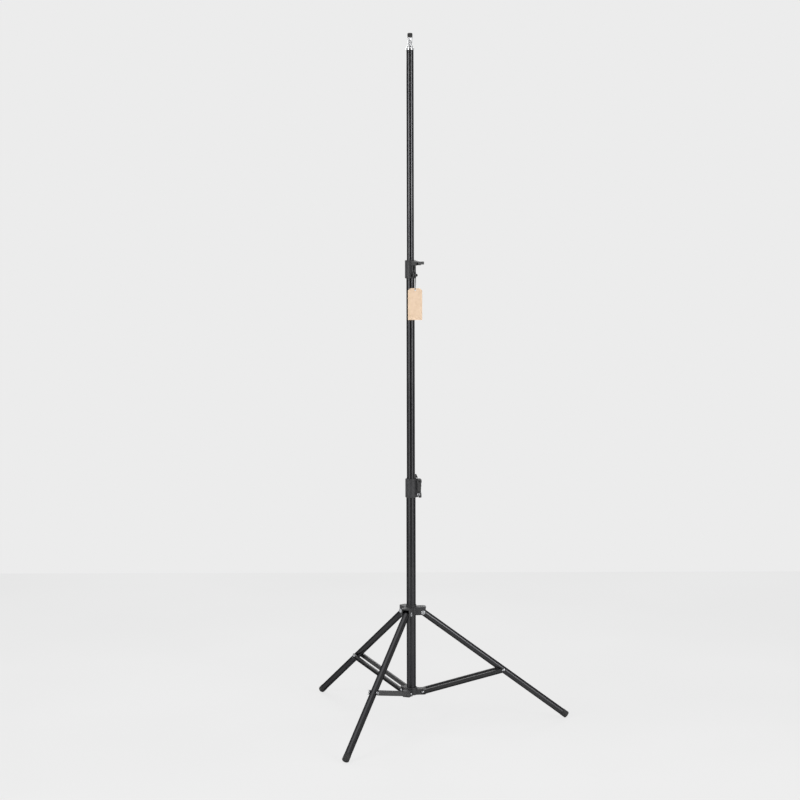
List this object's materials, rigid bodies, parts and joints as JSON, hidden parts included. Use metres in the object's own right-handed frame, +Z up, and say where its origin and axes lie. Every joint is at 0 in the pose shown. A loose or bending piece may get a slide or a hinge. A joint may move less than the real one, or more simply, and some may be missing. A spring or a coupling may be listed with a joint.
{
  "type": "light stand",
  "caption": "Folding light stand: telescopic black tube mast with lever clamps on braced tube legs, spigot on top.",
  "frame": {"origin": "middle of the ground rectangle round the three feet, on the floor", "axes": "+Z up along the mast, +X to the right as the stand is usually seen, +Y to the rear"},
  "size_m": [0.7, 0.7555, 1.8637],
  "materials": {
    "anodised_tube": "satin",
    "painted_channel": "satin",
    "moulded_plastic": "matte",
    "lever_plastic": "satin",
    "bright_steel": "satin",
    "blackened_steel": "satin",
    "chromed_steel": "polished",
    "black_rubber": "matte",
    "kraft_card": "matte",
    "black_string": "matte"
  },
  "bodies": {
    "root": {"lower_tube": "anodised_tube", "brace_collar": "moulded_plastic", "brace_collar_rivet_right": "bright_steel", "brace_collar_rivet_rear": "bright_steel", "brace_collar_rivet_front": "bright_steel", "lower_clamp_collar": "moulded_plastic", "lower_clamp_shoe": "black_rubber", "lower_clamp_pin": "blackened_steel", "lower_clamp_screw": "bright_steel", "lower_clamp_nut": "bright_steel"},
    "sliding_collar": {"leg_collar": "moulded_plastic", "leg_collar_bush": "moulded_plastic", "leg_rivet_right": "bright_steel", "leg_rivet_rear": "bright_steel", "leg_rivet_front": "bright_steel"},
    "right_leg": {"leg_right": "anodised_tube", "foot_right": "black_rubber"},
    "rear_leg": {"leg_rear": "anodised_tube", "foot_rear": "black_rubber"},
    "front_leg": {"leg_front": "anodised_tube", "foot_front": "black_rubber"},
    "right_braces": {"brace_right_first": "painted_channel", "brace_right_second": "painted_channel", "brace_leg_rivet_right_first": "bright_steel", "brace_leg_rivet_right_second": "bright_steel"},
    "rear_braces": {"brace_rear_first": "painted_channel", "brace_rear_second": "painted_channel", "brace_leg_rivet_rear_first": "bright_steel", "brace_leg_rivet_rear_second": "bright_steel"},
    "front_braces": {"brace_front_first": "painted_channel", "brace_front_second": "painted_channel", "brace_leg_rivet_front_first": "bright_steel", "brace_leg_rivet_front_second": "bright_steel"},
    "lower_lever": {"lower_clamp_lever": "lever_plastic"},
    "middle_mast": {"middle_tube": "anodised_tube", "middle_tube_plug": "moulded_plastic", "upper_clamp_collar": "moulded_plastic", "upper_clamp_shoe": "black_rubber", "upper_clamp_pin": "blackened_steel", "upper_clamp_screw": "blackened_steel", "upper_clamp_nut": "blackened_steel", "hang_tag": "kraft_card", "tag_string": "black_string"},
    "upper_lever": {"upper_clamp_lever": "lever_plastic"},
    "top_mast": {"top_tube": "anodised_tube", "top_tube_plug": "moulded_plastic", "spigot": "chromed_steel"},
    "cap": {"spigot_cap": "black_rubber"}
  },
  "joints": [
    {"name": "collar_slide", "type": "slide", "parent": "root", "child": "sliding_collar", "axis": [0, 0, 1], "range_m": [0, 0.2849]},
    {"name": "right_leg_hinge", "type": "hinge", "parent": "sliding_collar", "child": "right_leg", "pos_m": [-0.05339, 0.02842, 0.30801], "axis": [-0.1167, 0.9932, 0], "range_deg": [0, 50.61]},
    {"name": "rear_leg_hinge", "type": "hinge", "parent": "sliding_collar", "child": "rear_leg", "pos_m": [-0.10271, 0.04965, 0.30801], "axis": [-0.8018, -0.5976, 0], "range_deg": [0, 50.61]},
    {"name": "front_leg_hinge", "type": "hinge", "parent": "sliding_collar", "child": "front_leg", "pos_m": [-0.09644, -0.00367, 0.30801], "axis": [0.9184, -0.3955, 0], "range_deg": [0, 50.61]},
    {"name": "right_brace_hinge", "type": "hinge", "parent": "root", "child": "right_braces", "pos_m": [-0.05439, 0.0283, 0.08757], "axis": [0.1167, -0.9932, 0], "range_deg": [0, 73.06]},
    {"name": "rear_brace_hinge", "type": "hinge", "parent": "root", "child": "rear_braces", "pos_m": [-0.10211, 0.04885, 0.08757], "axis": [0.8018, 0.5976, 0], "range_deg": [0, 73.06]},
    {"name": "front_brace_hinge", "type": "hinge", "parent": "root", "child": "front_braces", "pos_m": [-0.09605, -0.00275, 0.08757], "axis": [-0.9184, 0.3955, 0], "range_deg": [0, 73.06]},
    {"name": "lower_lever_hinge", "type": "hinge", "parent": "root", "child": "lower_lever", "pos_m": [-0.06138, 0.0248, 0.66747], "axis": [0, -1, 0], "range_deg": [0, 90]},
    {"name": "middle_mast_slide", "type": "slide", "parent": "root", "child": "middle_mast", "axis": [0, 0, 1], "range_m": [-0.489, 0]},
    {"name": "upper_lever_hinge", "type": "hinge", "parent": "middle_mast", "child": "upper_lever", "pos_m": [-0.07404, 0.00489, 1.25677], "axis": [0.891, 0.454, 0], "range_deg": [0, 90]},
    {"name": "top_mast_slide", "type": "slide", "parent": "middle_mast", "child": "top_mast", "axis": [0, 0, 1], "range_m": [-0.551, 0]},
    {"name": "cap_pull", "type": "slide", "parent": "top_mast", "child": "cap", "axis": [0, 0, 1], "range_m": [0, 0.012]}
  ],
  "couplings": [
    {"joint": "right_leg_hinge", "follows": "collar_slide", "rad_per_m": 3.0998},
    {"joint": "rear_leg_hinge", "follows": "collar_slide", "rad_per_m": 3.0998},
    {"joint": "front_leg_hinge", "follows": "collar_slide", "rad_per_m": 3.0998},
    {"joint": "right_brace_hinge", "follows": "collar_slide", "rad_per_m": 4.4754},
    {"joint": "rear_brace_hinge", "follows": "collar_slide", "rad_per_m": 4.4754},
    {"joint": "front_brace_hinge", "follows": "collar_slide", "rad_per_m": 4.4754}
  ]
}
